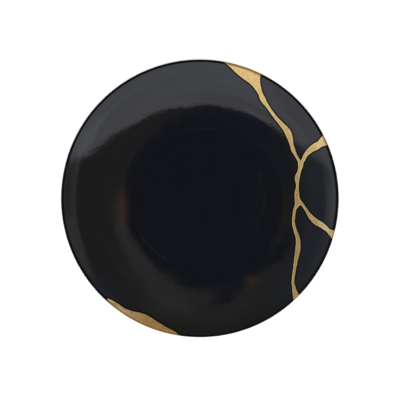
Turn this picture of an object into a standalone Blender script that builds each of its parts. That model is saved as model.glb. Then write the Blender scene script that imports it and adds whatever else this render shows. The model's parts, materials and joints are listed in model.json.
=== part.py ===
"""Kintsugi plate: a black-glazed coupe plate, broken into four shards and joined with gold lacquer.

The plate is turned about +Z and stands on its foot ring at z = 0. The gold fills one seam with two
branches, which reaches the rim in four places, and one chip in the rim.
"""

import math

import bmesh
import bpy
from mathutils import Vector

# Driving sizes of the turned plate, in metres
RIM_DIAMETER = 0.270
PLATE_HEIGHT = 0.024
WELL_RADIUS = 0.068
FLOOR_THICKNESS = 0.0052
LIP_THICKNESS = 0.0042
FOOT_HEIGHT = 0.0030
FOOT_OUTER_RADIUS = 0.0745
FOOT_WIDTH = 0.0050
FOOT_DRAFT = 0.0008
FOOT_EDGE_ROUNDING = 0.0006

# The gold: the seam's usual width, how far it stands proud of the glaze, and its clearance to the shards
SEAM_WIDTH = 0.0040
GOLD_PROUD = 0.0002
GOLD_CLEARANCE = 0.0003

# The seam's stations: across (+X) and up (+Y) in hundredths of the rim's radius, and the width in
# seam widths. Each vein runs on past the rim, where the plate's own outline ends it.
LONG_VEIN_SHARES = [
    (26.6, 113.7, 14.51),
    (30.6, 104.3, 10.06),
    (36.2, 91.9, 6.01),
    (40.3, 83.7, 2.60),
    (43.6, 76.5, 1.28),
    (45.9, 71.8, 1.35),
    (50.1, 65.6, 0.78),
    (55.4, 58.4, 0.81),
    (59.7, 53.6, 1.11),
    (63.8, 48.3, 1.52),
    (65.4, 44.2, 1.35),
    (66.6, 39.3, 0.88),
    (67.6, 35.5, 0.91),
    (69.8, 30.8, 0.71),
    (71.7, 27.6, 0.74),
    (73.0, 24.3, 1.22),
    (72.4, 20.1, 0.88),
    (70.8, 14.7, 1.18),
    (71.0, 9.6, 0.68),
    (70.6, 3.4, 1.08),
    (71.3, -3.1, 1.42),
    (70.1, -6.4, 0.98),
    (69.0, -9.3, 0.71),
    (68.2, -16.9, 0.68),
    (69.5, -23.4, 0.81),
    (71.4, -29.2, 1.01),
    (71.2, -36.5, 1.25),
    (70.1, -42.6, 1.01),
    (68.7, -50.2, 0.81),
    (67.4, -59.2, 0.71),
    (67.9, -63.8, 0.84),
    (68.8, -67.7, 1.25),
    (70.9, -73.4, 2.13),
    (73.4, -80.2, 3.10),
]
UPPER_BRANCH_SHARES = [
    (73.6, 24.4, 0.81),
    (75.0, 27.8, 0.91),
    (76.6, 31.2, 1.01),
    (80.0, 34.9, 1.42),
    (83.1, 37.0, 1.72),
    (86.0, 38.9, 1.69),
    (88.5, 40.7, 2.19),
    (94.3, 44.5, 3.58),
]
LOWER_BRANCH_SHARES = [
    (71.5, -0.2, 0.91),
    (74.3, -4.5, 1.05),
    (77.1, -8.1, 0.84),
    (79.4, -11.5, 0.98),
    (81.4, -14.1, 1.22),
    (84.3, -16.8, 1.38),
    (87.9, -19.1, 1.35),
    (90.4, -21.2, 1.22),
    (92.3, -23.0, 1.05),
    (95.0, -24.7, 1.69),
    (101.6, -28.3, 3.71),
]
# The chip's inner edge, from its left end to its right end, in hundredths of the rim's radius
CHIP_EDGE_SHARES = [
    (-64.8, -77.6),
    (-66.6, -72.2),
    (-62.8, -74.0),
    (-59.0, -76.4),
    (-55.1, -79.1),
    (-49.0, -81.4),
    (-42.0, -82.9),
    (-36.9, -85.3),
    (-29.2, -90.2),
    (-22.9, -94.0),
    (-18.5, -96.2),
    (-15.4, -99.2),
    (-12.9, -103.1),
]
HUNDREDTH = 0.01
# How far out the corners of the chip's cut lie, in rim radii
PAST_THE_RIM_SHARE = 1.15

# Fineness of the turned faces and of the seam's edges
TURN_STEPS = 96
WALL_STEPS = 9
UNDERSIDE_STEPS = 6
LIP_STEPS = (2, 4, 3)
EDGE_STEPS = 3
HALVINGS = 40
SHARP_ANGLE = math.radians(35)
MERGE_DISTANCE = 0.00001

# Worked out from the driving sizes
RIM_RADIUS = RIM_DIAMETER / 2
LIP_RADIUS = LIP_THICKNESS / 2
FLOOR_HEIGHT = FOOT_HEIGHT + FLOOR_THICKNESS
FOOT_INNER_RADIUS = FOOT_OUTER_RADIUS - FOOT_WIDTH
# The wall's inner face is one arc, level where it leaves the well, that ends on the lip's round edge
WALL_RUN = RIM_RADIUS - LIP_RADIUS - WELL_RADIUS
WALL_RISE = PLATE_HEIGHT - LIP_RADIUS - FLOOR_HEIGHT
WALL_ARC = (WALL_RUN**2 + WALL_RISE**2 - LIP_RADIUS**2) / (2 * (WALL_RISE + LIP_RADIUS))
LIP_ANGLE = math.atan2(WALL_RUN, WALL_ARC - WALL_RISE)

GLAZE = {"colour": (0.012, 0.014, 0.019), "roughness": 0.15, "metallic": 0.0}
GOLD = {"colour": (0.62, 0.42, 0.16), "roughness": 0.35, "metallic": 0.9}


def new_collection(name):
    collection = bpy.data.collections.new(name)
    bpy.context.scene.collection.children.link(collection)
    return collection


def add_object(name, mesh, collection):
    piece = bpy.data.objects.new(name, mesh)
    collection.objects.link(piece)
    return piece


def finish(piece, look):
    """Gives the piece a material of its own and smooth shading on its turned faces."""
    material = bpy.data.materials.new(f"{piece.name} finish")
    material.use_nodes = True
    shader = material.node_tree.nodes["Principled BSDF"]
    shader.inputs["Base Color"].default_value = (*look["colour"], 1.0)
    shader.inputs["Roughness"].default_value = look["roughness"]
    shader.inputs["Metallic"].default_value = look["metallic"]
    piece.data.materials.clear()
    piece.data.materials.append(material)
    piece.data.shade_smooth()
    piece.data.set_sharp_from_angle(angle=SHARP_ANGLE)


# The turned profile


def wall_point(share, depth):
    """A point of the wall: share 0 is at the well, share 1 at the lip, and depth is under the inner face."""
    angle = share * LIP_ANGLE
    reach = WALL_ARC + depth
    return (WELL_RADIUS + reach * math.sin(angle), FLOOR_HEIGHT + WALL_ARC - reach * math.cos(angle))


def wall_thickness(share):
    return FLOOR_THICKNESS + share * (LIP_THICKNESS - FLOOR_THICKNESS)


def share_under(radius):
    """The share along the wall at which its underside reaches a radius."""
    low, high = 0.0, 1.0
    for _ in range(HALVINGS):
        middle = (low + high) / 2
        if wall_point(middle, wall_thickness(middle))[0] < radius:
            low = middle
        else:
            high = middle
    return low


def lip_points(proud):
    """The round edge, from the inner face over the top and the outside to the underside."""
    centre = wall_point(1.0, LIP_RADIUS)
    corners = (LIP_ANGLE + math.pi / 2, math.pi / 2, 0.0, LIP_ANGLE - math.pi / 2)
    points = []
    for start, end, steps in zip(corners, corners[1:], LIP_STEPS):
        for step in range(steps):
            angle = start + (end - start) * step / steps
            reach = LIP_RADIUS + proud
            points.append((centre[0] + reach * math.cos(angle), centre[1] + reach * math.sin(angle)))
    return points


def foot_points(proud):
    """The foot ring, from its outer side under the wall to its inner side under the floor."""
    return [
        (FOOT_OUTER_RADIUS + proud, FOOT_EDGE_ROUNDING),
        (FOOT_OUTER_RADIUS - FOOT_EDGE_ROUNDING, 0.0),
        (FOOT_INNER_RADIUS + FOOT_EDGE_ROUNDING, 0.0),
        (FOOT_INNER_RADIUS - proud, FOOT_EDGE_ROUNDING),
        (FOOT_INNER_RADIUS - FOOT_DRAFT - proud, FOOT_HEIGHT - proud),
    ]


def plate_profile(proud):
    """Half the plate's section, from the middle of the well over the lip to the middle of the base."""
    points = [(0.0, FLOOR_HEIGHT + proud)]
    points += [wall_point(step / WALL_STEPS, -proud) for step in range(WALL_STEPS)]
    points += lip_points(proud)
    foot_top = FOOT_OUTER_RADIUS + FOOT_DRAFT + proud
    foot_share = share_under(foot_top)
    for step in range(UNDERSIDE_STEPS + 1):
        share = 1.0 + (foot_share - 1.0) * step / UNDERSIDE_STEPS
        points.append(wall_point(share, wall_thickness(share) + proud))
    if foot_top < WELL_RADIUS:
        points.append((foot_top, FOOT_HEIGHT - proud))
    points += foot_points(proud)
    points.append((0.0, FOOT_HEIGHT - proud))
    return points


def turned_plate(name, proud, collection):
    """The whole plate as a profile with a Screw modifier, its faces moved out by proud."""
    points = plate_profile(proud)
    profile = bpy.data.meshes.new(name)
    edges = [(index, index + 1) for index in range(len(points) - 1)]
    profile.from_pydata([(radius, 0.0, height) for radius, height in points], edges, [])
    plate = add_object(name, profile, collection)
    turning = plate.modifiers.new("turning", "SCREW")
    turning.steps = TURN_STEPS
    turning.render_steps = TURN_STEPS
    turning.use_merge_vertices = True
    turning.merge_threshold = MERGE_DISTANCE
    turning.use_smooth_shade = True
    return plate


# The seam and the chip


def smooth_line(stations):
    """A smooth line through the stations, each of them a Vector, with EDGE_STEPS parts between two."""
    padded = [stations[0], *stations, stations[-1]]
    line = []
    for before, start, end, after in zip(padded, padded[1:], padded[2:], padded[3:]):
        for step in range(EDGE_STEPS):
            t = step / EDGE_STEPS
            line.append(
                start
                + (end - before) * (t / 2)
                + (2 * before - 5 * start + 4 * end - after) * (t**2 / 2)
                + (3 * start - before - 3 * end + after) * (t**3 / 2)
            )
    line.append(stations[-1])
    return line


def side_direction(line, index):
    """The level direction to the right of the line at one of its points."""
    ahead = line[min(index + 1, len(line) - 1)]
    behind = line[max(index - 1, 0)]
    along = (ahead - behind).xy.normalized()
    return Vector((along.y, -along.x))


def place_on_plate(across, up, width=0.0):
    """A station as a Vector: its place in metres, with the vein's width in metres as its third value."""
    return Vector((across * HUNDREDTH * RIM_RADIUS, up * HUNDREDTH * RIM_RADIUS, width * SEAM_WIDTH))


def vein_outline(stations, margin):
    """Both edges of a vein as one closed outline, each edge moved out by margin."""
    line = smooth_line([place_on_plate(*station) for station in stations])
    right, left = [], []
    for index, point in enumerate(line):
        side = side_direction(line, index) * (point.z / 2 + margin)
        right.append(point.xy + side)
        left.append(point.xy - side)
    return right + left[::-1]


def chip_outline(margin):
    """The chip's inner edge, moved in by margin, closed by two corners beyond the rim."""
    line = smooth_line([place_on_plate(*station) for station in CHIP_EDGE_SHARES])
    edge = [point.xy - side_direction(line, index) * margin for index, point in enumerate(line)]
    corners = [end.normalized() * RIM_RADIUS * PAST_THE_RIM_SHARE for end in (edge[-1], edge[0])]
    return edge + corners


def prism(name, outline, half_height, collection):
    """An upright prism through the whole plate, from a flat outline."""
    flat = bpy.data.curves.new(name, "CURVE")
    flat.dimensions = "2D"
    flat.fill_mode = "BOTH"
    flat.extrude = half_height
    spline = flat.splines.new("POLY")
    spline.points.add(len(outline) - 1)
    for point, place in zip(spline.points, outline):
        point.co = (place.x, place.y, 0.0, 1.0)
    spline.use_cyclic_u = True
    curve = add_object(f"{name}_outline", flat, collection)
    curve.location.z = PLATE_HEIGHT / 2
    bpy.context.view_layer.update()
    evaluated = curve.evaluated_get(bpy.context.evaluated_depsgraph_get())
    solid = add_object(name, bpy.data.meshes.new_from_object(evaluated), collection)
    solid.matrix_world = curve.matrix_world
    bpy.data.objects.remove(curve)
    caps = bmesh.new()
    caps.from_mesh(solid.data)
    bmesh.ops.remove_doubles(caps, verts=caps.verts, dist=MERGE_DISTANCE)
    caps.to_mesh(solid.data)
    caps.free()
    solid.hide_render = True
    solid.display_type = "WIRE"
    return solid


def combine(piece, other, operation):
    joining = piece.modifiers.new(f"{operation.lower()} {other.name}", "BOOLEAN")
    joining.operation = operation
    joining.solver = "EXACT"
    joining.object = other


def seam_prism(name, margin, collection):
    """The long vein with both branches joined to it. Each stands taller, so that no caps coincide."""
    half_height = PLATE_HEIGHT
    seam = prism(name, vein_outline(LONG_VEIN_SHARES, margin), half_height, collection)
    for place, stations in (("upper", UPPER_BRANCH_SHARES), ("lower", LOWER_BRANCH_SHARES)):
        half_height += FLOOR_THICKNESS
        branch = prism(f"{name}_{place}_branch", vein_outline(stations, margin), half_height, collection)
        combine(seam, branch, "UNION")
    return seam


def loose_parts(piece):
    """The separate bodies of a piece's evaluated mesh, each as a mesh of its own."""
    bpy.context.view_layer.update()
    evaluated = piece.evaluated_get(bpy.context.evaluated_depsgraph_get())
    whole = bmesh.new()
    whole.from_mesh(evaluated.data)
    unseen = set(whole.verts)
    bodies = []
    while unseen:
        body = {unseen.pop()}
        edge_of_body = set(body)
        while edge_of_body:
            reached = {edge.other_vert(vert) for vert in edge_of_body for edge in vert.link_edges}
            edge_of_body = reached - body
            body |= edge_of_body
        unseen -= body
        bodies.append({vert.index for vert in body})
    whole.free()
    meshes = []
    for kept in bodies:
        part = bmesh.new()
        part.from_mesh(evaluated.data)
        part.verts.ensure_lookup_table()
        bmesh.ops.delete(part, geom=[vert for vert in part.verts if vert.index not in kept], context="VERTS")
        mesh = bpy.data.meshes.new("shard")
        part.to_mesh(mesh)
        part.free()
        meshes.append(mesh)
    return meshes


def mean_way_up(mesh):
    """How far up (+Y) a shard lies, as the mean over its points."""
    return sum(vert.co.y for vert in mesh.vertices) / len(mesh.vertices)


def build_shards(parts, cutters):
    """The plate, cut along the seam and the chip: the body of the plate and three shards of the rim."""
    whole = turned_plate("whole_plate", 0.0, cutters)
    whole.hide_render = True
    combine(whole, seam_prism("seam_cutter", GOLD_CLEARANCE, cutters), "DIFFERENCE")
    combine(whole, prism("chip_cutter", chip_outline(GOLD_CLEARANCE), PLATE_HEIGHT, cutters), "DIFFERENCE")
    meshes = sorted(loose_parts(whole), key=lambda mesh: -len(mesh.vertices))
    rim_meshes = sorted(meshes[1:], key=mean_way_up, reverse=True)
    names = ["plate_body", "rim_shard_upper", "rim_shard_middle", "rim_shard_lower"]
    for name, mesh in zip(names, [meshes[0], *rim_meshes]):
        finish(add_object(name, mesh, parts), GLAZE)
    bpy.data.objects.remove(whole)


def build_gold(parts, cutters):
    """The lacquer in the seam and in the chip, through the whole wall and a little proud of it."""
    seam = turned_plate("gold_seam", GOLD_PROUD, parts)
    combine(seam, seam_prism("seam_shape", 0.0, cutters), "INTERSECT")
    fill = turned_plate("gold_rim_fill", GOLD_PROUD, parts)
    combine(fill, prism("chip_shape", chip_outline(0.0), PLATE_HEIGHT, cutters), "INTERSECT")
    for piece in (seam, fill):
        finish(piece, GOLD)


def main():
    for leftover in list(bpy.data.objects):
        bpy.data.objects.remove(leftover)
    parts = new_collection("kintsugi_plate")
    cutters = new_collection("kintsugi_plate_cutters")
    build_shards(parts, cutters)
    build_gold(parts, cutters)


main()
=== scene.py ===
"""Looks of the kintsugi plate: black glaze, broken into four shards and joined with gold lacquer.

Each piece starts as a flat sheet, cut along the seam and the chip. A Geometry Nodes tree then raises
it into a closed wall with the plate's turned section, and rounds its broken edges.
"""

import json
import math

import bpy
import numpy as np
from mathutils import Matrix, Vector, noise
from mathutils.geometry import delaunay_2d_cdt
from mathutils.kdtree import KDTree


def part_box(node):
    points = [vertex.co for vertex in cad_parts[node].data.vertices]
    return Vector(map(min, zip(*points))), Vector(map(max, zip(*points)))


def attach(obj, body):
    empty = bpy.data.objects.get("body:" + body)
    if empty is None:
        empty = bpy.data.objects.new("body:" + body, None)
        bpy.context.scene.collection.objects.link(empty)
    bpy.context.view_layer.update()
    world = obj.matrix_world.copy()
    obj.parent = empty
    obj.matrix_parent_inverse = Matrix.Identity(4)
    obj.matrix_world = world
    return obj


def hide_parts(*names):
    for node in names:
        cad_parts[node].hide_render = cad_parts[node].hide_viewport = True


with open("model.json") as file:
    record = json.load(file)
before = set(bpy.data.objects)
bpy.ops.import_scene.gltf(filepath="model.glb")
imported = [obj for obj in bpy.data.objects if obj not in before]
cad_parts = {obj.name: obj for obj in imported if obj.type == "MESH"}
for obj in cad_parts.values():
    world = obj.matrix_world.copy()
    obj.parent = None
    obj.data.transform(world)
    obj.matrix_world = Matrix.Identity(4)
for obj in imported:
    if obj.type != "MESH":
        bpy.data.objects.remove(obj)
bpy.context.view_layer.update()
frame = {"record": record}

# Sizes read from the frame, in metres
BODY_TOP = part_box("plate_body")[1]
RIM_RADIUS = BODY_TOP.y
PLATE_HEIGHT = BODY_TOP.z
GOLD_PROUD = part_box("gold_seam")[1].z - PLATE_HEIGHT
MOUNTS = {mount["name"]: Vector(mount["pos_m"]) for mount in frame["record"]["mounts"]}
FLOOR_HEIGHT = MOUNTS["well_floor"].z
FOOT_MIDDLE = MOUNTS["foot_ring"].x

# The rest of the turned section, in metres
WELL_RADIUS = 0.068
FLOOR_THICKNESS = 0.0052
LIP_THICKNESS = 0.0042
FOOT_WIDTH = 0.0050
FOOT_DRAFT = 0.0008
FOOT_EDGE_ROUNDING = 0.0006
FOOT_FILLET = 0.0004
FOOT_HEIGHT = FLOOR_HEIGHT - FLOOR_THICKNESS

# Worked out as in the solid: one arc from the well to the lip's round edge
LIP_RADIUS = LIP_THICKNESS / 2
WALL_RUN = RIM_RADIUS - LIP_RADIUS - WELL_RADIUS
WALL_RISE = PLATE_HEIGHT - LIP_RADIUS - FLOOR_HEIGHT
WALL_ARC = (WALL_RUN**2 + WALL_RISE**2 - LIP_RADIUS**2) / (2 * (WALL_RISE + LIP_RADIUS))
LIP_ANGLE = math.atan2(WALL_RUN, WALL_ARC - WALL_RISE)
LIP_MIDDLE = RIM_RADIUS - LIP_RADIUS
LIP_HEIGHT = PLATE_HEIGHT - LIP_RADIUS

# The finer forms, in metres. The lacquer sinks by its hollow between two distances from its edges.
BROKEN_EDGE = {"proud": 0.0, "shoulder": 0.00035, "drop": 0.00014, "hollow": 0.0}
LACQUER_EDGE = {"proud": GOLD_PROUD, "shoulder": 0.0006, "drop": 0.00034, "hollow": 0.00008}
HOLLOW_SPAN = (0.0006, 0.0022)
SEAM_GAP = 0.00002
LACQUER_MARGIN = 0.00014
UPPER_WEB_RADIUS = 0.0007
LOWER_WEB_RADIUS = 0.0013
HAND_WOBBLE = 0.00016
WAVE_HEIGHT = 0.00042
WAVES_END = (RIM_RADIUS - 0.012, RIM_RADIUS - 0.004)
WELL_LINE_RADIUS = WELL_RADIUS + 0.0005
WELL_LINE_WIDTH = 0.0007
WELL_LINE_HEIGHT = 0.00014

# How close the uneven forms lie, in waves for each metre, and how much each of them adds
HAND_WOBBLE_SCALE = 260.0
WAVE_SCALE = 30.0
TURNING_SCALE = 110.0
TURNING_SHARE = 0.25
STRAY_SCALE = 420.0
STRAY_LIFT = 0.3
STRAY_SHARE = 1.4

# The line round the well is faint all round and stronger along two arcs. Each arc has its middle and
# half its width in degrees, then its strength, and fades between two shares of that half width.
WELL_LINE_FAINT = 0.12
WELL_LINE_ARCS = [(91.0, 11.0, 1.10), (227.0, 14.0, 0.80)]
WELL_LINE_FADE = (1.5, 0.6)

# The attribute in which a piece keeps each point's distance from its broken edges
EDGE_DISTANCE = "edge_distance"

# The seam's stations: across (+X) and up (+Y) in hundredths of the rim's radius, and the width in
# seam widths. Each vein runs on past the rim, where the plate's own outline ends it.
SEAM_WIDTH = 0.0040
LONG_VEIN_SHARES = [
    (26.6, 113.7, 14.29),
    (30.6, 104.3, 9.85),
    (36.2, 91.9, 5.79),
    (40.0, 83.5, 2.33),
    (43.3, 76.4, 1.09),
    (45.5, 71.6, 1.21),
    (49.7, 65.3, 0.73),
    (55.0, 58.1, 0.80),
    (59.3, 53.3, 1.04),
    (63.4, 48.1, 1.43),
    (65.0, 44.1, 1.30),
    (66.3, 39.2, 0.86),
    (67.3, 35.4, 0.91),
    (69.6, 30.7, 0.58),
    (71.5, 27.5, 0.63),
    (72.8, 24.3, 1.13),
    (72.0, 20.2, 0.74),
    (70.4, 14.8, 1.09),
    (70.6, 9.6, 0.56),
    (70.2, 3.4, 0.97),
    (70.7, -3.1, 1.26),
    (69.4, -6.2, 0.72),
    (68.5, -9.2, 0.59),
    (67.7, -16.9, 0.57),
    (69.1, -23.5, 0.72),
    (70.9, -29.3, 0.89),
    (70.8, -36.5, 1.11),
    (69.7, -42.5, 0.89),
    (68.4, -50.1, 0.67),
    (67.1, -59.2, 0.55),
    (67.6, -63.9, 0.76),
    (68.4, -67.8, 1.14),
    (70.5, -73.5, 2.04),
    (73.0, -80.3, 2.96),
]
UPPER_BRANCH_SHARES = [
    (73.3, 24.5, 0.65),
    (74.7, 27.9, 0.77),
    (76.4, 31.4, 0.89),
    (79.9, 35.1, 1.35),
    (83.1, 37.2, 1.65),
    (86.0, 38.9, 1.57),
    (88.5, 40.7, 2.13),
    (94.4, 44.5, 3.50),
]
LOWER_BRANCH_SHARES = [
    (71.3, -0.4, 0.60),
    (74.2, -4.5, 0.60),
    (76.8, -8.3, 0.58),
    (79.0, -11.8, 0.82),
    (81.1, -14.4, 1.13),
    (84.1, -17.0, 1.33),
    (87.8, -19.2, 1.28),
    (90.4, -21.2, 1.11),
    (92.3, -23.0, 0.96),
    (94.8, -25.0, 1.53),
    (101.4, -28.7, 3.55),
]
# The chip's inner edge, from its left end to its right end, in hundredths of the rim's radius
CHIP_EDGE_SHARES = [
    (-64.8, -77.6),
    (-66.6, -72.2),
    (-62.6, -73.6),
    (-58.7, -76.0),
    (-54.9, -78.7),
    (-48.9, -81.1),
    (-41.9, -82.7),
    (-36.7, -85.0),
    (-29.0, -89.8),
    (-22.6, -93.5),
    (-18.2, -95.7),
    (-15.0, -98.8),
    (-12.5, -102.9),
]
HUNDREDTH = 0.01
PAST_THE_RIM_SHARE = 1.15
WEB_OVERLAP = 0.2
WOBBLE_SIDE_OFFSET = 0.1

# The sheet that becomes each shard, the largest shard first and then from the top of the rim down
SHARD_SHEETS = {
    "plate_body": "body_shard",
    "rim_shard_upper": "upper_shard",
    "rim_shard_middle": "middle_shard",
    "rim_shard_lower": "lower_shard",
}

# Fineness of the sheets, in metres and steps
VEIN_STEPS = 12
WEB_STEPS = 8
RIM_STEPS = 540
GOLD_RIM_STEPS = 1620
WALL_SPACING = 0.0015
WELL_SPACING = 0.0022
GOLD_SPACING = 0.00036
CERAMIC_ROWS = (0.00012, 0.00026, 0.0005)
GOLD_ROWS = (0.0001, 0.00024, 0.00042, 0.00066)
CERAMIC_CLEAR = 0.0009
GOLD_CLEAR = 0.00085
ON_THE_RIM = 0.00001
CUT_EPSILON = 1e-7
WELD_DISTANCE = 4e-6
MERGE_DISTANCE = 1e-6
PLACE_DIGITS = 7
SHARP_ANGLE = math.radians(38)
OPEN_EDGE_FACES = 1.5

# Where the rings of points lie: up to the lip as shares of its angle, over the lip in degrees, then as
# shares of the foot's rounding, of its draft and of the well line's width. Inside the lip, RING_PARTS
# divides the number of points in each ring.
LIP_ANGLE_SHARES = (1.0, 0.66, 0.33)
LIP_DEGREES = range(0, 90, 10)
ROUNDING_SHARES = (0.3, 0.55, 0.75, 0.9, 1.0)
DRAFT_SHARES = (0.25, 0.5, 0.75, 0.9, 1.0, 1.15)
LINE_SHARES = (-2, -1.3, -0.8, -0.4, 0, 0.4, 0.8, 1.3, 2)
RING_PARTS = 6

# The photo's frame is 400 pixels across, with the plate's middle 0.1 left and 1.6 above the frame's
CAMERA_DISTANCE = 2.0
CAMERA_REACH = 100.0
FRAME_WIDTH = 0.3884
SENSOR_WIDTH = 36.0
CAMERA_PLACE = (0.0001, -0.00156, PLATE_HEIGHT + CAMERA_DISTANCE)


class Socket:
    """An output of a node. Python's operators on it add Math nodes."""

    def __init__(self, graph, link):
        self.graph = graph
        self.link = link

    def __getitem__(self, name):
        return Socket(self.graph, find_socket(self.link.node.outputs, name))

    def math(self, operation, *others):
        return self.graph.math(operation, self, *others)

    def __add__(self, other):
        return self.graph.math("ADD", self, other)

    def __radd__(self, other):
        return self.graph.math("ADD", other, self)

    def __sub__(self, other):
        return self.graph.math("SUBTRACT", self, other)

    def __rsub__(self, other):
        return self.graph.math("SUBTRACT", other, self)

    def __mul__(self, other):
        return self.graph.math("MULTIPLY", self, other)

    def __rmul__(self, other):
        return self.graph.math("MULTIPLY", other, self)

    def __truediv__(self, other):
        return self.graph.math("DIVIDE", self, other)

    def __rtruediv__(self, other):
        return self.graph.math("DIVIDE", other, self)

    def __pow__(self, other):
        return self.graph.math("POWER", self, other)

    def __rpow__(self, other):
        return self.graph.math("POWER", other, self)

    def __gt__(self, other):
        return self.graph.math("GREATER_THAN", self, other)

    def __lt__(self, other):
        return self.graph.math("LESS_THAN", self, other)

    def root(self):
        return self.graph.math("SQRT", self.at_least(0.0))

    def at_least(self, other):
        return self.graph.math("MAXIMUM", self, other)

    def at_most(self, other):
        return self.graph.math("MINIMUM", self, other)

    def bell(self, middle, width):
        """One at the middle, falling off to nothing over about two widths."""
        return self.graph.math("EXPONENT", ((self - middle) / width) ** 2.0 * -1.0)

    def step(self, start, end):
        """Rises smoothly from nothing at start to one at end, or falls where start is the greater."""
        if start > end:
            return 1.0 - self.step(end, start)
        settings = {"interpolation_type": "SMOOTHSTEP"}
        inputs = {"Value": self, "From Min": start, "From Max": end, "To Min": 0.0, "To Max": 1.0}
        return self.graph.node("ShaderNodeMapRange", settings, inputs)


class Graph:
    """A node tree under construction, a shader's or one of Geometry Nodes."""

    def __init__(self, tree):
        self.tree = tree

    def node(self, kind, settings=None, inputs=None):
        """Adds a node: its type, its settings, then the values or links of its inputs."""
        made = self.tree.nodes.new(kind)
        for name, value in (settings or {}).items():
            setattr(made, name, value)
        for name, value in (inputs or {}).items():
            socket = made.inputs[name] if isinstance(name, int) else find_socket(made.inputs, name)
            if isinstance(value, Socket):
                self.tree.links.new(value.link, socket)
            else:
                socket.default_value = value
        return Socket(self, made.outputs[0]) if made.outputs else None

    def math(self, operation, *values):
        return self.node("ShaderNodeMath", {"operation": operation}, dict(enumerate(values)))

    def vector(self, operation, *values):
        return self.node("ShaderNodeVectorMath", {"operation": operation}, dict(enumerate(values)))

    def join(self, x, y, z):
        return self.node("ShaderNodeCombineXYZ", {}, {0: x, 1: y, 2: z})

    def blend(self, share, first, second):
        """Mixes two colours: all first where share is 0, all second where it is 1."""
        inputs = {"Factor_Float": share, "A_Color": first, "B_Color": second}
        return self.node("ShaderNodeMix", {"data_type": "RGBA"}, inputs)["Result_Color"]

    def noise(self, place, scale, detail, roughness, seed):
        settings = {"noise_dimensions": "4D"}
        inputs = {"Vector": place, "Scale": scale, "Detail": detail, "Roughness": roughness, "W": seed}
        return self.node("ShaderNodeTexNoise", settings, inputs)


def find_socket(sockets, name):
    """A node's socket by its identifier, or else by its name."""
    for socket in sockets:
        if socket.identifier == name:
            return socket
    return sockets[name]


# The seam's outlines


def smooth_line(stations):
    """A smooth line through the stations, each of them a Vector, with VEIN_STEPS parts between two."""
    padded = [stations[0], *stations, stations[-1]]
    line = []
    for before, start, end, after in zip(padded, padded[1:], padded[2:], padded[3:]):
        for step in range(VEIN_STEPS):
            t = step / VEIN_STEPS
            line.append(
                start
                + (end - before) * (t / 2)
                + (2 * before - 5 * start + 4 * end - after) * (t**2 / 2)
                + (3 * start - before - 3 * end + after) * (t**3 / 2)
            )
    line.append(stations[-1])
    return line


def side_direction(line, index):
    """The level direction to the right of the line at one of its points."""
    ahead = line[min(index + 1, len(line) - 1)]
    behind = line[max(index - 1, 0)]
    along = (ahead - behind).xy.normalized()
    return Vector((along.y, -along.x))


def place_on_plate(across, up, width=0.0):
    """A station as a Vector: its place in metres, with the vein's width in metres as its third value."""
    return Vector((across * HUNDREDTH * RIM_RADIUS, up * HUNDREDTH * RIM_RADIUS, width * SEAM_WIDTH))


def wobble(point, side):
    """How far the hand-laid edge strays from its line, the same for the lacquer and the shard beside it."""
    place = Vector((point.x, point.y, side * WOBBLE_SIDE_OFFSET))
    return HAND_WOBBLE * noise.noise(place * HAND_WOBBLE_SCALE)


def vein_edges(shares, margin):
    """The right and the left edge of a vein, each moved out by margin."""
    line = smooth_line([place_on_plate(*station) for station in shares])
    right, left = [], []
    for index, point in enumerate(line):
        side = side_direction(line, index)
        right.append(point.xy + side * (point.z / 2 + margin + wobble(point, 1)))
        left.append(point.xy - side * (point.z / 2 + margin + wobble(point, -1)))
    return right, left


def crossing(first, second):
    """Where two lines cross, and the direction in which each goes on from there."""
    for start, end in zip(first, first[1:]):
        for other_start, other_end in zip(second, second[1:]):
            run, other_run, gap = end - start, other_end - other_start, other_start - start
            turn = run.cross(other_run)
            if turn and 0 <= gap.cross(other_run) / turn <= 1 and 0 <= gap.cross(run) / turn <= 1:
                return start + run * (gap.cross(other_run) / turn), run.normalized(), other_run.normalized()
    raise ValueError("the edges at a fork of the seam don't cross")


def fork_web(first, second, radius):
    """The filler that rounds the corner between two edges that run apart from where they cross."""
    tip, along, beside = crossing(first, second)
    opening = along.angle(beside) / 2
    middle = (along + beside).normalized()
    centre = tip + middle * (radius / math.sin(opening))
    reach = radius / math.tan(opening)
    start, end = tip + along * reach - centre, tip + beside * reach - centre
    arc = [centre + start.slerp(end, step / WEB_STEPS).normalized() * radius for step in range(WEB_STEPS + 1)]
    return [tip - middle * radius * WEB_OVERLAP, *arc]


def chip_outline(margin):
    """The chip's inner edge, moved in by margin, closed by two corners beyond the rim."""
    line = smooth_line([place_on_plate(*station) for station in CHIP_EDGE_SHARES])
    edge = []
    for index, point in enumerate(line):
        edge.append(point.xy - side_direction(line, index) * (margin + wobble(point, 1)))
    corners = [end.normalized() * RIM_RADIUS * PAST_THE_RIM_SHARE for end in (edge[-1], edge[0])]
    return edge + corners


def seam_outlines(margin):
    """The outlines of the three veins and of the webs at their forks, then that of the chip."""
    long_right, long_left = vein_edges(LONG_VEIN_SHARES, margin)
    upper_right, upper_left = vein_edges(UPPER_BRANCH_SHARES, margin)
    lower_right, lower_left = vein_edges(LOWER_BRANCH_SHARES, margin)
    return [
        long_right + long_left[::-1],
        upper_right + upper_left[::-1],
        lower_right + lower_left[::-1],
        fork_web(long_left[::-1], upper_left, UPPER_WEB_RADIUS - margin),
        fork_web(long_left, lower_right, LOWER_WEB_RADIUS - margin),
        chip_outline(margin),
    ]


def inside(outline, points):
    """Which of the points, an array of two columns, lie inside a closed outline."""
    within = np.zeros(len(points), bool)
    for start, end in zip(outline, outline[1:] + outline[:1]):
        spans = (points[:, 1] < start.y) != (points[:, 1] < end.y)
        if start.y != end.y:
            edge_x = start.x + (points[:, 1] - start.y) * (end.x - start.x) / (end.y - start.y)
            within ^= spans & (points[:, 0] < edge_x)
    return within


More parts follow.
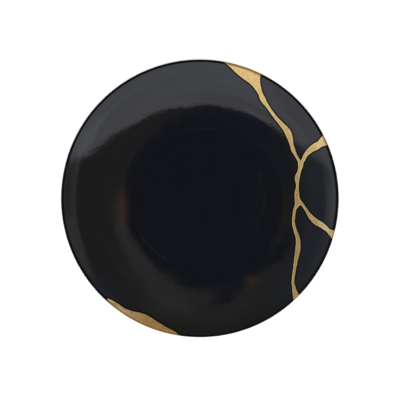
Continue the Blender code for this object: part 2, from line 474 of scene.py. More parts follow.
def far_from(outlines, points, distance):
    """The points that keep at least that distance from every corner of the outlines."""
    corners = [corner for outline in outlines for corner in outline]
    tree = KDTree(len(corners))
    for index, corner in enumerate(corners):
        tree.insert((corner.x, corner.y, 0.0), index)
    tree.balance()
    return [point for point in points if tree.find((point[0], point[1], 0.0))[2] > distance]


# The flat sheets


def ring(radius, steps):
    """Points evenly spaced round a circle."""
    return [Vector((radius, 0.0)) @ Matrix.Rotation(-math.tau * step / steps, 2) for step in range(steps)]


def lip_rings():
    """The radii at which the round lip is sampled, from where the wall meets it to just inside the rim."""
    angles = [-LIP_ANGLE * share for share in LIP_ANGLE_SHARES]
    angles += [math.radians(degrees) for degrees in LIP_DEGREES]
    return [LIP_MIDDLE + LIP_RADIUS * math.sin(angle) for angle in angles]


def foot_rings():
    """The radii at which the foot ring and the fine line round the well are sampled."""
    half = FOOT_WIDTH / 2 - FOOT_EDGE_ROUNDING
    out = [0.0, half / 2, half]
    out += [half + FOOT_EDGE_ROUNDING * share for share in ROUNDING_SHARES]
    out += [half + FOOT_EDGE_ROUNDING + FOOT_DRAFT * share for share in DRAFT_SHARES]
    foot = [FOOT_MIDDLE + side * reach for reach in out for side in (-1, 1)]
    line = [WELL_LINE_RADIUS + WELL_LINE_WIDTH * share for share in LINE_SHARES]
    return sorted(set(foot + line))


def ceramic_points():
    """The inner points of the shards' sheet, on rings round the plate's middle."""
    foot = foot_rings()
    start, end = foot[0] - WELL_SPACING, foot[-1] + WALL_SPACING
    well_steps = round(start / WELL_SPACING)
    wall_steps = round((lip_rings()[0] - end) / WALL_SPACING)
    radii = [start * step / well_steps for step in range(1, well_steps + 1)]
    radii += foot
    radii += [end + (lip_rings()[0] - end) * step / wall_steps for step in range(wall_steps)]
    points = [Vector((0.0, 0.0))]
    for radius in radii:
        points += ring(radius, RING_PARTS * max(1, round(math.tau * radius / (RING_PARTS * WALL_SPACING))))
    return points


def gold_points(outlines):
    """The inner points of the gold's sheet, in a honeycomb between its edges."""
    row_step = GOLD_SPACING * math.sqrt(3) / 2
    found = []
    for outline in outlines:
        low = Vector((min(p.x for p in outline), min(p.y for p in outline)))
        high = Vector((max(p.x for p in outline), max(p.y for p in outline)))
        columns = np.arange(math.floor(low.x / GOLD_SPACING), math.ceil(high.x / GOLD_SPACING))
        rows = np.arange(math.floor(low.y / row_step), math.ceil(high.y / row_step))
        column, row = np.meshgrid(columns, rows)
        x = (column + 0.5 * (row % 2)).ravel() * GOLD_SPACING
        y = row.ravel() * row_step
        points = np.column_stack([x, y])
        points = points[np.hypot(x, y) < lip_rings()[0] - GOLD_SPACING]
        found.append(points[inside(outline, points)])
    return np.unique(np.round(np.vstack(found), PLACE_DIGITS), axis=0)


def cut(outlines, rows, points, rim_steps, near=None):
    """One flat triangulation of the whole disc, cut along the outlines, with edges along the rows.

    Where near is given, it says which points of a ring matter, and only those parts of the lip's rings
    become edges. Returns the points, the triangles and, as a row of flags for each triangle, which of
    the outlines hold it.
    """
    corners, edges = [], []

    def add_line(line, closed):
        first = len(corners)
        corners.extend(line)
        edges.extend((first + step, first + step + 1) for step in range(len(line) - 1))
        if closed:
            edges.append((first + len(line) - 1, first))

    for line in [ring(RIM_RADIUS, rim_steps), *outlines, *rows]:
        add_line(line, True)
    for radius in lip_rings():
        circle = ring(radius, rim_steps)
        if near is None:
            add_line(circle, True)
            continue
        kept = near(circle)
        for step in range(rim_steps):
            if kept[step] and kept[step - 1]:
                add_line([circle[step - 1], circle[step]], False)
    corners.extend(Vector((point[0], point[1])) for point in points)
    made = delaunay_2d_cdt(corners, edges, [], 0, CUT_EPSILON)
    places = np.array([(corner.x, corner.y) for corner in made[0]])
    triangles = np.array(made[2])
    middles = places[triangles].mean(axis=1)
    on_plate = np.hypot(middles[:, 0], middles[:, 1]) < RIM_RADIUS
    triangles, middles = triangles[on_plate], middles[on_plate]
    return made[0], triangles.tolist(), np.array([inside(outline, middles) for outline in outlines]).T


def sheet_object(name, corners, triangles):
    """A flat sheet as an object, made of some triangles of a triangulation."""
    used = sorted({corner for triangle in triangles for corner in triangle})
    number = {corner: index for index, corner in enumerate(used)}
    places = []
    for corner in used:
        place = corners[corner]
        if abs(place.length - RIM_RADIUS) < ON_THE_RIM:
            place = place.normalized() * RIM_RADIUS
        places.append((place.x, place.y, 0.0))
    faces = [[number[corner] for corner in triangle] for triangle in triangles]
    mesh = bpy.data.meshes.new(name)
    mesh.from_pydata(places, [], faces)
    mesh.update()
    if sum(face.normal.z for face in mesh.polygons) < 0:
        mesh.flip_normals()
    sheet = bpy.data.objects.new(name, mesh)
    bpy.context.scene.collection.objects.link(sheet)
    return sheet


def connected(triangles):
    """The triangles in groups that hang together along their edges, the largest group first."""
    by_edge = {}
    for index, triangle in enumerate(triangles):
        for start, end in zip(triangle, triangle[1:] + triangle[:1]):
            by_edge.setdefault((min(start, end), max(start, end)), []).append(index)
    neighbours = [[] for _ in triangles]
    for pair in by_edge.values():
        if len(pair) == 2:
            neighbours[pair[0]].append(pair[1])
            neighbours[pair[1]].append(pair[0])
    groups, seen = [], [False] * len(triangles)
    for start in range(len(triangles)):
        if seen[start]:
            continue
        seen[start] = True
        group = [start]
        for index in group:
            for other in neighbours[index]:
                if not seen[other]:
                    seen[other] = True
                    group.append(other)
        groups.append([triangles[index] for index in group])
    return sorted(groups, key=len, reverse=True)


def shard_sheets():
    """The flat sheets of the four shards, each under the name of the node that it replaces."""
    margin = LACQUER_MARGIN + SEAM_GAP
    outlines = seam_outlines(margin)
    rows = [outline for row in CERAMIC_ROWS for outline in seam_outlines(margin + row)]
    points = far_from(outlines, ceramic_points(), CERAMIC_CLEAR)
    corners, triangles, holders = cut(outlines, rows, points, RIM_STEPS)
    groups = connected([triangle for triangle, held in zip(triangles, holders) if not held.any()])
    body, *rim_groups = groups[: len(SHARD_SHEETS)]

    def mean_way_up(group):
        return sum(corners[triangle[0]].y for triangle in group) / len(group)

    shards = [body, *sorted(rim_groups, key=mean_way_up, reverse=True)]
    named = zip(SHARD_SHEETS.items(), shards)
    return {node: sheet_object(name, corners, group) for (node, name), group in named}


def gold_sheets():
    """The flat sheets of the seam and the fill, each under the name of the node that it replaces."""
    outlines = seam_outlines(LACQUER_MARGIN)
    rows = [outline for row in GOLD_ROWS for outline in seam_outlines(LACQUER_MARGIN - row)]
    wide = seam_outlines(LACQUER_MARGIN + GOLD_SPACING * 2)

    def near(circle):
        places = np.array([(corner.x, corner.y) for corner in circle])
        return np.any([inside(outline, places) for outline in wide], axis=0)

    points = far_from(outlines, gold_points(outlines), GOLD_CLEAR)
    corners, triangles, holders = cut(outlines, rows, points, GOLD_RIM_STEPS, near)
    seam = connected([triangle for triangle, held in zip(triangles, holders) if held[:-1].any()])[0]
    fill = connected([triangle for triangle, held in zip(triangles, holders) if held[-1]])[0]
    return {
        "gold_seam": sheet_object("lacquer_seam", corners, seam),
        "gold_rim_fill": sheet_object("lacquer_rim_fill", corners, fill),
    }


# The tree that raises a sheet into a wall

TREE_SIZES = {
    "Rim radius": RIM_RADIUS,
    "Well radius": WELL_RADIUS,
    "Floor height": FLOOR_HEIGHT,
    "Floor thickness": FLOOR_THICKNESS,
    "Lip thickness": LIP_THICKNESS,
    "Lip height": LIP_HEIGHT,
    "Lip angle": LIP_ANGLE,
    "Wall arc": WALL_ARC,
    "Foot middle": FOOT_MIDDLE,
    "Foot width": FOOT_WIDTH,
    "Foot height": FOOT_HEIGHT,
    "Foot draft": FOOT_DRAFT,
    "Foot edge rounding": FOOT_EDGE_ROUNDING,
    "Wave height": WAVE_HEIGHT,
    "Seed": 7.0,
}
EDGE_SIZES = {"Proud": "proud", "Shoulder width": "shoulder", "Shoulder drop": "drop", "Hollow": "hollow"}


def raising_tree():
    """A sheet goes in flat and comes out as a closed wall: its top, its underside and its broken edges."""
    tree = bpy.data.node_groups.new("raise a sheet into a wall", "GeometryNodeTree")
    tree.interface.new_socket("Sheet", in_out="INPUT", socket_type="NodeSocketGeometry")
    for name in [*TREE_SIZES, *EDGE_SIZES]:
        tree.interface.new_socket(name, in_out="INPUT", socket_type="NodeSocketFloat")
    tree.interface.new_socket("Material", in_out="INPUT", socket_type="NodeSocketMaterial")
    tree.interface.new_socket("Wall", in_out="OUTPUT", socket_type="NodeSocketGeometry")
    graph = Graph(tree)
    size = graph.node("NodeGroupInput")

    # Corners that almost touch, where an edge of the seam meets the rim, become one
    inputs = {"Geometry": size["Sheet"], "Distance": WELD_DISTANCE}
    flat = graph.node("GeometryNodeMergeByDistance", {}, inputs)

    # Edges on one face only are broken ones, unless both their ends lie on the rim
    ends = graph.node("GeometryNodeInputMeshEdgeVertices")
    on_rim = 1.0
    for end in ("Position 1", "Position 2"):
        reach = graph.vector("LENGTH", ends[end])["Value"]
        on_rim = on_rim * (reach > size["Rim radius"] - ON_THE_RIM)
    open_edge = graph.node("GeometryNodeInputMeshEdgeNeighbors") < OPEN_EDGE_FACES
    broken = open_edge * (1.0 - on_rim)
    lines = graph.node("GeometryNodeSeparateGeometry", {"domain": "EDGE"}, {0: flat, 1: broken})
    near = graph.node("GeometryNodeProximity", {"target_element": "EDGES"}, {0: lines})["Distance"]
    inputs = {"Geometry": flat, "Name": EDGE_DISTANCE, "Value": near}
    sheet = graph.node("GeometryNodeStoreNamedAttribute", {"data_type": "FLOAT", "domain": "POINT"}, inputs)
    distance = graph.node("GeometryNodeInputNamedAttribute", {"data_type": "FLOAT"}, {0: EDGE_DISTANCE})

    # The broken edges are drawn down into walls, and a flipped copy of the sheet closes the underside
    top, under = raised_places(graph, size, distance)
    inputs = {"Mesh": sheet, "Selection": broken, "Offset Scale": 0.0}
    walled = graph.node("GeometryNodeExtrudeMesh", {"mode": "EDGES"}, inputs)
    inputs = {"Switch": walled["Top"], "False": top, "True": under}
    place = graph.node("GeometryNodeSwitch", {"input_type": "VECTOR"}, inputs)
    upper = graph.node("GeometryNodeSetPosition", {}, {"Geometry": walled, "Position": place})
    flipped = graph.node("GeometryNodeFlipFaces", {}, {"Mesh": sheet})
    lower = graph.node("GeometryNodeSetPosition", {}, {"Geometry": flipped, "Position": under})
    both = graph.node("GeometryNodeJoinGeometry")
    for part in (lower, upper):
        tree.links.new(part.link, both.link.node.inputs[0])
    inputs = {"Geometry": both, "Distance": MERGE_DISTANCE}
    shell = graph.node("GeometryNodeMergeByDistance", {}, inputs)
    smooth = graph.node("GeometryNodeSetShadeSmooth", {"domain": "FACE"}, {0: shell, "Shade Smooth": True})
    sharp = graph.node("GeometryNodeInputMeshEdgeAngle") > SHARP_ANGLE
    inputs = {0: smooth, "Selection": sharp, "Shade Smooth": False}
    shaded = graph.node("GeometryNodeSetShadeSmooth", {"domain": "EDGE"}, inputs)
    whole = graph.node("GeometryNodeRealizeInstances", {}, {0: shaded})
    finished = graph.node("GeometryNodeSetMaterial", {}, {"Geometry": whole, "Material": size["Material"]})
    graph.node("NodeGroupOutput", {}, {0: finished})
    return tree


def raised_places(graph, size, distance):
    """Where a sheet's point goes on the plate's inner face and on its underside, as two vectors."""
    flat = graph.node("GeometryNodeInputPosition")
    radius = graph.vector("LENGTH", flat)["Value"]
    away = graph.vector("NORMALIZE", flat)
    edge = radius > size["Rim radius"] - ON_THE_RIM
    radius = radius + (size["Rim radius"] - radius) * edge

    # The lip's half circle, and the wall's arc that runs into it
    lip = size["Lip thickness"] * 0.5
    lip_middle = size["Rim radius"] - lip
    lip_lean = ((radius - lip_middle) / lip).at_least(-1.0).at_most(1.0)
    lip_rise = lip * (1.0 - lip_lean * lip_lean).root()
    lip_meets = lip * size["Lip angle"].math("SINE")
    run = (radius - size["Well radius"]).at_least(0.0)
    arc = size["Wall arc"]
    arc_middle = size["Floor height"] + arc

    # The inner face: how high it lies and how far it leans in
    on_lip = radius > lip_middle - lip_meets
    inner = arc_middle - (arc * arc - run * run).root()
    top_height = inner + (size["Lip height"] + lip_rise - inner) * on_lip
    top_lean = run / arc * -1.0
    top_lean = top_lean + (lip_lean - top_lean) * on_lip

    # The underside, which follows at the wall's thickness and goes down over the foot ring
    share = (run / (arc + size["Floor thickness"])).math("ARCSINE") / size["Lip angle"]
    thinning = size["Lip thickness"] - size["Floor thickness"]
    thickness = size["Floor thickness"] + thinning * share.at_most(1.0)
    deep_arc = arc + thickness
    under_lip = radius > lip_middle + lip_meets
    outer = arc_middle - (deep_arc * deep_arc - run * run).root()
    under_height = outer + (size["Lip height"] - lip_rise - outer) * under_lip
    under_lean = run / deep_arc
    under_lean = under_lean + (lip_lean - under_lean) * under_lip
    under_height = under_height.math("SMOOTH_MIN", foot_height(size, radius), FOOT_FILLET)

    # How far both faces stand out: softened at the broken edges, and uneven where they are lacquer
    shoulder = (1.0 - distance / size["Shoulder width"]).at_least(0.0)
    sunk = distance.step(*HOLLOW_SPAN) * size["Hollow"]
    stray = graph.noise(flat, scale=STRAY_SCALE, detail=2.0, roughness=0.5, seed=size["Seed"] + 3.0) - 0.5
    lacquer = size["Proud"] - sunk - (stray + STRAY_LIFT).at_least(0.0) * size["Hollow"] * STRAY_SHARE
    height = lacquer - size["Shoulder drop"] * shoulder * shoulder

    # The inner face also has the glaze's shallow waves and the line round the well
    lumps = graph.noise(flat, scale=WAVE_SCALE, detail=1.0, roughness=0.4, seed=size["Seed"])
    turns = graph.join(radius * TURNING_SCALE, 0.0, 0.0)
    turning = graph.noise(turns, scale=1.0, detail=1.0, roughness=0.5, seed=size["Seed"] + 1.0)
    uneven = (lumps - 0.5) + (turning - 0.5) * TURNING_SHARE
    waves = uneven * size["Wave height"] * (1.0 - radius.step(*WAVES_END))
    line = radius.bell(WELL_LINE_RADIUS, WELL_LINE_WIDTH) * well_line_strength(graph, away) * WELL_LINE_HEIGHT

    def placed(lean, upright, level, out):
        settings = {"operation": "SCALE"}
        sideways = graph.node("ShaderNodeVectorMath", settings, {0: away, "Scale": radius + lean * out})
        return graph.vector("ADD", sideways, graph.join(0.0, 0.0, level + upright * out))

    top_out = height + waves + line
    top = placed(top_lean, (1.0 - top_lean * top_lean).root(), top_height, top_out)
    under = placed(under_lean, (1.0 - under_lean * under_lean).root() * -1.0, under_height, height)
    return top, under


def well_line_strength(graph, away):
    """How strong the line round the well is in each direction away from the middle."""
    strength = WELL_LINE_FAINT
    for middle, half_width, share in WELL_LINE_ARCS:
        turn = math.radians(middle)
        facing = graph.vector("DOT_PRODUCT", away, (math.cos(turn), math.sin(turn), 0.0))["Value"]
        near_arc = facing.step(*[math.cos(math.radians(half_width * fade)) for fade in WELL_LINE_FADE])
        strength = (near_arc * share).at_least(strength)
    return strength


def foot_height(size, radius):
    """The height of the foot ring's surface: flat below, rounded at its edges, then steep."""
    rounding = size["Foot edge rounding"]
    off = (radius - size["Foot middle"]).math("ABSOLUTE") - size["Foot width"] * 0.5 + rounding
    off = off.at_least(0.0)
    bend = off.at_most(rounding)
    rounded = rounding - (rounding * rounding - bend * bend).root()
    steep = (size["Foot height"] - rounding) / size["Foot draft"]
    return rounded + (off - rounding).at_least(0.0) * steep


def raise_sheet(sheet, tree, edge, material):
    """Runs the tree on a sheet and keeps the result as a plain mesh."""
    raising = sheet.modifiers.new("raising", "NODES")
    raising.node_group = tree
    sizes = dict(TREE_SIZES)
    sizes.update({name: edge[key] for name, key in EDGE_SIZES.items()})
    for item in tree.interface.items_tree:
        if item.in_out == "INPUT" and item.name in sizes:
            raising[item.identifier] = sizes[item.name]
        if item.in_out == "INPUT" and item.name == "Material":
            raising[item.identifier] = material
    evaluated = sheet.evaluated_get(bpy.context.evaluated_depsgraph_get())
    mesh = bpy.data.meshes.new_from_object(evaluated)
    sheet.modifiers.remove(raising)
    flat = sheet.data
    sheet.data = mesh
    bpy.data.meshes.remove(flat)
    mesh.name = sheet.name
    return sheet


# The finishes


def new_material(name):
    """A material with an empty tree, and the graph that fills it."""
    material = bpy.data.materials.new(name)
    material.use_nodes = True
    material.node_tree.nodes.clear()
    return material, Graph(material.node_tree)


def object_place(graph):
    """A point's own place on its piece, whatever way the piece is turned."""
    return graph.node("ShaderNodeTexCoord")["Object"]


def plate_radius(graph, place):
    """How far a place lies from the plate's axis, and its three values."""
    split = graph.node("ShaderNodeSeparateXYZ", {}, {0: place})
    return (split["X"] * split["X"] + split["Y"] * split["Y"]).root(), split


DEEP_BLACK = (0.0010, 0.0013, 0.0024, 1)
NAVY_BLACK = (0.0014, 0.0016, 0.0026, 1)
REDDISH_BROWN = (0.0150, 0.0056, 0.0046, 1)
UNDERCOAT_AND_PAINTED_SHADE = (0.0010, 0.0010, 0.0013, 1)
DARK_CLAY = (0.19, 0.125, 0.085, 1)
PALE_CLAY = (0.33, 0.245, 0.175, 1)
CLOUD_SPAN = (0.35, 0.65)

# Each reddish-brown patch in the glaze: its middle, its reach across and up, in metres, and its strength
REDDISH_PATCHES = [
    ((-0.0758, -0.0090), (0.0056, 0.0178), 1.0),
    ((0.0080, -0.0985), (0.0085, 0.0050), 0.35),
    ((0.0505, -0.0800), (0.0072, 0.0042), 0.6),
]

# How ragged a patch's edge is, and between which shares of its reach it fades out
PATCH_RAGGEDNESS = 1.8
PATCH_FADE = (1.8, -0.2)

# The glaze's turning and brush marks, in marks for each metre, and its bumps
TURNING_MARKS = 600.0
BRUSH_MARKS = 420.0
BRUSH_MARKS_ALONG = 9.0
TURNING_RELIEF = 0.10
PEEL_RELIEF = 0.05
GLAZE_BUMP = {"Strength": 0.1, "Distance": 0.0008}

# How dull the glaze, the clay and the dull dark band are: the band is painted shade over the lip's crown,
# and beside the lacquer the undercoat's line with painted shade. Smears dull the glaze, and the brush
# marks carry a clear coat.
GLAZE_ROUGHNESS = 0.02
SMEAR_ROUGHNESS = 0.08
GLAZE_IOR = 1.48
COAT_START = 0.35
COAT_SHARE = 0.6
CLAY_ROUGHNESS = 0.75
UNDERCOAT_AND_SHADE_ROUGHNESS = 0.45
UNDERCOAT_AND_SHADE_SHINE = 0.05

# Where the clay is bare, below a height and inside a radius, and where the dull dark band lies: over the
# lip's crown as painted shade that makes the rim a dark line, and beside the lacquer as the undercoat's
# line with painted shade, all in metres
BARE_HEIGHTS = (0.0011, 0.0005)
BARE_RADII = (0.078, 0.080)
PAINTED_SHADE_LIP_RADII = (LIP_MIDDLE - LIP_RADIUS * 0.45, LIP_MIDDLE + LIP_RADIUS * 0.15)
PAINTED_SHADE_LIP_HEIGHTS = (LIP_HEIGHT - LIP_RADIUS * 0.3, LIP_HEIGHT)
PAINTED_SHADE_LIP_COVER = 0.98
UNDERCOAT_AND_SHADE_EDGE_DISTANCES = (0.0015, 0.0009)
UNDERCOAT_AND_SHADE_EDGE_COVER = 0.92


def black_glaze():
    """Black glaze with a navy depth, turning lines, faint reddish-brown patches and a bare clay foot.

    A dull dark band is painted shade over the lip's crown, and beside the lacquer the undercoat's line
    with painted shade.
    """
    material, graph = new_material("black glaze")
    place = object_place(graph)
    radius, split = plate_radius(graph, place)
    cloud = graph.noise(place, scale=55.0, detail=3.0, roughness=0.55, seed=2.0)
    colour = graph.blend(cloud.step(*CLOUD_SPAN), DEEP_BLACK, NAVY_BLACK)
    ragged = (graph.noise(place, scale=240.0, detail=3.0, roughness=0.6, seed=5.0) - 0.5) * PATCH_RAGGEDNESS
    for (x, y), (wide, long), strength in REDDISH_PATCHES:
        off = ((split["X"] - x) / wide) ** 2.0 + ((split["Y"] - y) / long) ** 2.0
        reddish_patch = (off.root() + ragged).step(*PATCH_FADE) * strength
        colour = graph.blend(reddish_patch, colour, REDDISH_BROWN)

    # Turning marks run round the plate, brush marks nearly so, and ripples and peel lie all over it
    rings = graph.join(radius * TURNING_MARKS, 0.0, 0.0)
    turning = graph.noise(rings, scale=1.0, detail=2.0, roughness=0.6, seed=4.0)
    streaks = graph.join(radius * BRUSH_MARKS, split["X"] * BRUSH_MARKS_ALONG, split["Y"] * BRUSH_MARKS_ALONG)
    brushed = graph.noise(streaks, scale=1.0, detail=3.0, roughness=0.6, seed=9.0)
    ripples = graph.noise(place, scale=170.0, detail=3.0, roughness=0.55, seed=3.0)
    peel = graph.noise(place, scale=520.0, detail=1.0, roughness=0.5, seed=1.0)
    relief = ripples + turning * TURNING_RELIEF + peel * PEEL_RELIEF
    bump = graph.node("ShaderNodeBump", {}, {**GLAZE_BUMP, "Height": relief})
    smears = graph.noise(place, scale=90.0, detail=4.0, roughness=0.6, seed=6.0)
    roughness = GLAZE_ROUGHNESS + smears * SMEAR_ROUGHNESS

    # The foot ring stands on bare clay
    bare = split["Z"].step(*BARE_HEIGHTS) * (1.0 - radius.step(*BARE_RADII))
    clay_grain = graph.noise(place, scale=1500.0, detail=3.0, roughness=0.6, seed=8.0)
    clay = graph.blend(clay_grain, DARK_CLAY, PALE_CLAY)
    inputs = {
        "Base Color": graph.blend(bare, colour, clay),
        "Roughness": roughness + (CLAY_ROUGHNESS - roughness) * bare,
        "IOR": GLAZE_IOR,
        "Coat Weight": (brushed - COAT_START).at_least(0.0) * COAT_SHARE * (1.0 - bare),
        "Normal": bump,
    }
    glossy = graph.node("ShaderNodeBsdfPrincipled", {}, inputs)

    # The dull dark band: painted shade over the lip's crown, and beside the lacquer the undercoat's dark
    # line with painted shade
    inputs = {
        "Base Color": UNDERCOAT_AND_PAINTED_SHADE,
        "Roughness": UNDERCOAT_AND_SHADE_ROUGHNESS,
        "Specular IOR Level": UNDERCOAT_AND_SHADE_SHINE,
    }
    dull = graph.node("ShaderNodeBsdfPrincipled", {}, inputs)
    # Painted shade: the lip's crown loses its shine and reads as a dark line round the rim
    lip = radius.step(*PAINTED_SHADE_LIP_RADII) * PAINTED_SHADE_LIP_COVER * split["Z"].step(*PAINTED_SHADE_LIP_HEIGHTS)
    edge = graph.node("ShaderNodeAttribute", {"attribute_name": EDGE_DISTANCE})["Fac"]
    # Beside the lacquer the dark line is partly the undercoat and partly painted shade
    beside = edge.step(*UNDERCOAT_AND_SHADE_EDGE_DISTANCES) * UNDERCOAT_AND_SHADE_EDGE_COVER
    mixed = graph.node("ShaderNodeMixShader", {}, {0: lip.at_least(beside), 1: glossy, 2: dull})
    graph.node("ShaderNodeOutputMaterial", {}, {"Surface": mixed})
    return material


# The gold's tones. The near one drifts into the far one between two places across the plate, in
# metres, as painted light: the seam lighter to the right as a painted reflection of a pale panel, the fill
# lighter at its left end as a painted highlight. The rim's wear comes in between two places over the lip,
# in lip radii from its crown.
SEAM_TONES = {
    "near": (0.605, 0.422, 0.148, 1),
    "far": (0.730, 0.550, 0.290, 1),
    "olive": (0.530, 0.395, 0.115, 1),
    "rosy": (0.670, 0.440, 0.230, 1),
    "burnished": (0.900, 0.680, 0.350, 1),
    "worn": (0.230, 0.110, 0.028, 1),
}
SEAM_PAINTED_LIGHT_DRIFT = (0.106, 0.122)
SEAM_WEAR = (0.15, 0.45)
FILL_TONES = {
    "near": (0.920, 0.730, 0.395, 1),
    "far": (0.660, 0.382, 0.108, 1),
    "olive": (0.670, 0.368, 0.096, 1),
    "rosy": (0.780, 0.510, 0.190, 1),
    "burnished": (0.800, 0.600, 0.280, 1),
    "worn": (0.150, 0.078, 0.024, 1),
}
FILL_PAINTED_LIGHT_DRIFT = (-0.083, -0.045)
FILL_WEAR = (-0.35, 0.20)

# What lies over the even tone: a texture, where in it the layer starts and is full, how strong the
# layer is there, and its tone
GOLD_LAYERS = [
    ("patches", 0.50, 0.64, 0.80, "rosy"),
    ("patches", 0.48, 0.34, 0.80, "olive"),
    ("spots", 0.50, 0.68, 0.35, "burnished"),
    ("spots", 0.48, 0.30, 0.45, "worn"),
    ("grain", 0.45, 0.30, 0.30, "worn"),
]

# Along the gold's edges, in metres from them: the band of painted highlight, and the line of bare lacquer
EDGE_HIGHLIGHT_BAND = (0.0012, 0.0006)
EDGE_HIGHLIGHT_BAND_SHARE = 0.35
LACQUER_LINE = (0.0005, 0.00015)
LACQUER_LINE_SHARE = 0.5

# The wear eases off again at the rim itself, and is thinner or thicker with the spots
WEAR_EASES = (0.8, 0.95)
WEAR_EASES_SHARE = 0.6
WEAR_LEAST = 0.75
WEAR_WITH_SPOTS = 0.4

# The gold's shine, and how the spots, the wear and the bare lacquer dull it
GOLD_METALLIC = 0.90
WEAR_LESS_METALLIC = 0.2
LINE_LESS_METALLIC = 0.3
GOLD_ROUGHNESS = 0.28
SPOT_ROUGHNESS = 0.18
WEAR_ROUGHNESS = 0.15
GRAIN_RELIEF = 0.3
GOLD_BUMP = {"Strength": 0.4, "Distance": 0.0003}


def gold_lacquer(name, tones, painted_light_drift, wear_span):
    """Satin gold powder on lacquer: mottled, grainy and worn at the rim.

    A painted highlight runs along its edges, and its tone drifts across the plate as painted light.
    """
    material, graph = new_material(name)
    place = object_place(graph)
    radius, split = plate_radius(graph, place)
    edge = graph.node("ShaderNodeAttribute", {"attribute_name": EDGE_DISTANCE})["Fac"]
    textures = {
        "patches": graph.noise(place, scale=190.0, detail=2.0, roughness=0.6, seed=11.0),
        "spots": graph.noise(place, scale=520.0, detail=3.0, roughness=0.65, seed=12.0),
        "grain": graph.noise(place, scale=2600.0, detail=2.0, roughness=0.6, seed=13.0),
    }
    spots, grain = textures["spots"], textures["grain"]
    # Painted light: the tone drifts across the plate, lighter to the right on the seam and at the fill's left
    # end
    colour = graph.blend(split["X"].step(*painted_light_drift), tones["near"], tones["far"])
    for texture, start, full, strength, tone in GOLD_LAYERS:
        colour = graph.blend(textures[texture].step(start, full) * strength, colour, tones[tone])
    # A painted highlight along the gold's edges, where raised shoulders would catch the light
    colour = graph.blend(edge.step(*EDGE_HIGHLIGHT_BAND) * EDGE_HIGHLIGHT_BAND_SHARE, colour, tones["burnished"])
    lacquer_line = edge.step(*LACQUER_LINE)
    colour = graph.blend(lacquer_line * LACQUER_LINE_SHARE, colour, tones["worn"])
    over_lip = (radius - LIP_MIDDLE) / LIP_RADIUS
    wear = over_lip.step(*wear_span) * (1.0 - over_lip.step(*WEAR_EASES) * WEAR_EASES_SHARE)
    worn_away = (wear * (WEAR_LEAST + spots * WEAR_WITH_SPOTS)).at_most(1.0)
    colour = graph.blend(worn_away, colour, tones["worn"])
    dents = graph.noise(place, scale=800.0, detail=3.0, roughness=0.6, seed=14.0)
    bump = graph.node("ShaderNodeBump", {}, {**GOLD_BUMP, "Height": grain * GRAIN_RELIEF + dents})
    inputs = {
        "Base Color": colour,
        "Metallic": GOLD_METALLIC - wear * WEAR_LESS_METALLIC - lacquer_line * LINE_LESS_METALLIC,
        "Roughness": GOLD_ROUGHNESS + spots * SPOT_ROUGHNESS + wear * WEAR_ROUGHNESS,
        "Normal": bump,
    }
    shader = graph.node("ShaderNodeBsdfPrincipled", {}, inputs)
    graph.node("ShaderNodeOutputMaterial", {}, {"Surface": shader})
    return material


PALE_FLOOR = (0.88, 0.88, 0.88, 1)
PALER_FLOOR = (0.91, 0.91, 0.905, 1)
FLOOR_ROUGHNESS = 0.9
FLOOR_IOR = 1.3


def pale_floor():
    """A plain matt white tabletop with a breath of unevenness."""
    material, graph = new_material("pale floor")
    tone = graph.noise(object_place(graph), scale=3.0, detail=3.0, roughness=0.5, seed=21.0)
    colour = graph.blend(tone, PALE_FLOOR, PALER_FLOOR)
    inputs = {"Base Color": colour, "Roughness": FLOOR_ROUGHNESS, "IOR": FLOOR_IOR}
    shader = graph.node("ShaderNodeBsdfPrincipled", {}, inputs)
    graph.node("ShaderNodeOutputMaterial", {}, {"Surface": shader})
    return material


# The studio


# What the glaze mirrors, each as its left, right, near and far edge in slopes from straight up,
# how soft its edges are, and its light. The later ones lie over the earlier ones, and all of them over
# the dim light.
DIM_LIGHT = (0.225, 0.215, 0.170, 1)
ROOM = [
    (-0.35, 0.40, 0.22, 0.95, 0.15, (0.300, 0.290, 0.240, 1)),
    (0.04, 0.25, 0.04, 0.68, 0.05, (0.410, 0.400, 0.355, 1)),
    (-9.0, -0.48, -9.0, 0.85, 0.22, (0.300, 0.335, 0.385, 1)),
    (-9.0, -0.90, 0.35, 0.70, 0.12, (0.450, 0.485, 0.530, 1)),
    (-9.0, -1.02, -0.60, 0.30, 0.16, (0.990, 1.070, 1.160, 1)),
    (-3.5, -1.65, -0.80, 3.0, 0.15, (1.900, 1.950, 2.000, 1)),
    (0.62, 9.0, 0.60, 1.15, 0.18, (0.310, 0.325, 0.390, 1)),
    (1.15, 2.1, 1.15, 2.1, 0.10, (1.100, 1.100, 1.040, 1)),
    (0.87, 9.0, -0.45, 0.68, 0.065, (0.560, 0.555, 0.540, 1)),
    (0.98, 9.0, -0.45, 0.14, 0.07, (0.350, 0.350, 0.345, 1)),
    (-0.36, 0.05, 0.12, 0.26, 0.05, (0.115, 0.120, 0.150, 1)),
    (-0.15, -0.05, -0.10, 0.54, 0.035, (0.130, 0.135, 0.160, 1)),
    (-0.17, 0.055, -0.20, 0.20, 0.035, (0.100, 0.105, 0.130, 1)),
    (-0.36, -0.02, -0.34, -0.03, 0.07, (0.140, 0.145, 0.170, 1)),
    (-0.30, 0.045, -0.34, -0.17, 0.05, (0.135, 0.140, 0.165, 1)),
    (-9.0, 9.0, -9.0, -0.303, 0.028, (1.190, 1.200, 1.270, 1)),
    (-9.0, 9.0, -9.0, -0.60, 0.15, (1.260, 1.290, 1.410, 1)),
    (-9.0, -0.68, -0.36, -0.260, 0.045, (1.000, 1.030, 1.120, 1)),
    (-9.0, -0.58, -9.0, -0.50, 0.12, (1.050, 1.070, 1.180, 1)),
    (0.66, 1.05, -0.62, -0.31, 0.07, (1.540, 1.580, 1.740, 1)),
    (-0.50, 0.00, -0.46, -0.345, 0.04, (1.020, 1.030, 1.110, 1)),
    (0.95, 9.0, -0.325, -0.20, 0.035, (0.440, 0.440, 0.440, 1)),
]
SEEN_DIRECTLY = (1.0, 1.0, 1.0, 1)
LOWEST_RISE = 0.02

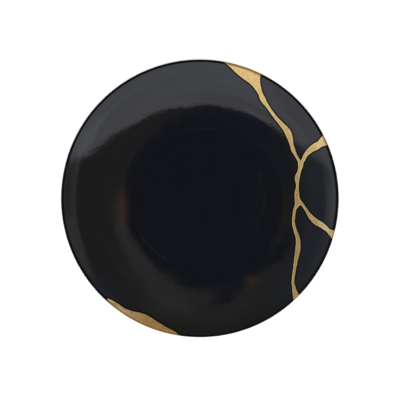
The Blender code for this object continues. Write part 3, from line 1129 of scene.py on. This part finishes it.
# The lights' unevenness: how close it lies across and along, the least light, and what it adds
CLOTH_ACROSS = 2.0
CLOTH_ALONG = 9.0
CLOTH_LEAST = 0.88
CLOTH_ADDS = 0.24

LIGHT_SIZE = 1.6
LIGHT_POWER = 120.0
LIGHT_HEIGHT = 3.0
TABLETOP_HALF = 2.0


def studio_surroundings():
    """A dim room with soft pale panels and window light, painted by direction."""
    world = bpy.data.worlds.new("studio")
    bpy.context.scene.world = world
    world.use_nodes = True
    world.node_tree.nodes.clear()
    graph = Graph(world.node_tree)
    split = graph.node("ShaderNodeSeparateXYZ", {}, {0: graph.node("ShaderNodeTexCoord")["Generated"]})
    up = split["Z"].at_least(LOWEST_RISE)
    across = split["X"] / up
    along = split["Y"] / up
    colour = DIM_LIGHT
    for left, right, near, far, soft, light in ROOM:
        share = across.step(left - soft, left + soft) * across.step(right + soft, right - soft)
        share = share * along.step(near - soft, near + soft) * along.step(far + soft, far - soft)
        colour = graph.blend(share, colour, light)
    seen = graph.node("ShaderNodeLightPath")["Is Camera Ray"]
    weave = graph.join(across * CLOTH_ACROSS, along * CLOTH_ALONG, 0.0)
    cloth = graph.noise(weave, scale=1.0, detail=3.0, roughness=0.6, seed=31.0)
    inputs = {"Color": colour, "Strength": CLOTH_LEAST + cloth * CLOTH_ADDS}
    background = graph.node("ShaderNodeBackground", {}, inputs)
    backdrop = graph.node("ShaderNodeBackground", {}, {"Color": SEEN_DIRECTLY, "Strength": 1.0})
    shown = graph.node("ShaderNodeMixShader", {}, {0: seen, 1: background, 2: backdrop})
    graph.node("ShaderNodeOutputWorld", {}, {"Surface": shown})


def overhead_light():
    """A broad even light on the tabletop, kept out of the glaze's reflections."""
    data = bpy.data.lights.new("overhead", "AREA")
    data.shape = "SQUARE"
    data.size = LIGHT_SIZE
    data.energy = LIGHT_POWER
    light = bpy.data.objects.new("overhead", data)
    light.location = (0.0, 0.0, LIGHT_HEIGHT)
    light.visible_glossy = False
    light.visible_camera = False
    bpy.context.scene.collection.objects.link(light)


def tabletop():
    """The tabletop that the plate stands on."""
    mesh = bpy.data.meshes.new("tabletop")
    half = TABLETOP_HALF
    corners = [(-half, -half, 0), (half, -half, 0), (half, half, 0), (-half, half, 0)]
    mesh.from_pydata(corners, [], [(0, 1, 2, 3)])
    mesh.materials.append(pale_floor())
    floor = bpy.data.objects.new("tabletop", mesh)
    bpy.context.scene.collection.objects.link(floor)


def camera():
    """Straight above, at the photo's framing."""
    data = bpy.data.cameras.new("camera")
    data.sensor_width = SENSOR_WIDTH
    data.lens = SENSOR_WIDTH * CAMERA_DISTANCE / FRAME_WIDTH
    data.clip_end = CAMERA_REACH
    looking = bpy.data.objects.new("camera", data)
    looking.location = CAMERA_PLACE
    bpy.context.scene.collection.objects.link(looking)
    bpy.context.scene.camera = looking


def main():
    camera()
    tree = raising_tree()
    glaze = black_glaze()
    golds = {
        "gold_seam": gold_lacquer("gold lacquer of the seam", SEAM_TONES, SEAM_PAINTED_LIGHT_DRIFT, SEAM_WEAR),
        "gold_rim_fill": gold_lacquer("gold lacquer of the fill", FILL_TONES, FILL_PAINTED_LIGHT_DRIFT, FILL_WEAR),
    }
    for node, sheet in shard_sheets().items():
        finish_piece(raise_sheet(sheet, tree, BROKEN_EDGE, glaze), node)
    for node, sheet in gold_sheets().items():
        finish_piece(raise_sheet(sheet, tree, LACQUER_EDGE, golds[node]), node)
    studio_surroundings()
    overhead_light()
    tabletop()
    bpy.context.scene.view_settings.view_transform = "Standard"


def finish_piece(piece, node):
    """Sets a piece on the plate's one body, in the place of its node."""
    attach(piece, "root")
    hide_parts(node)


main()
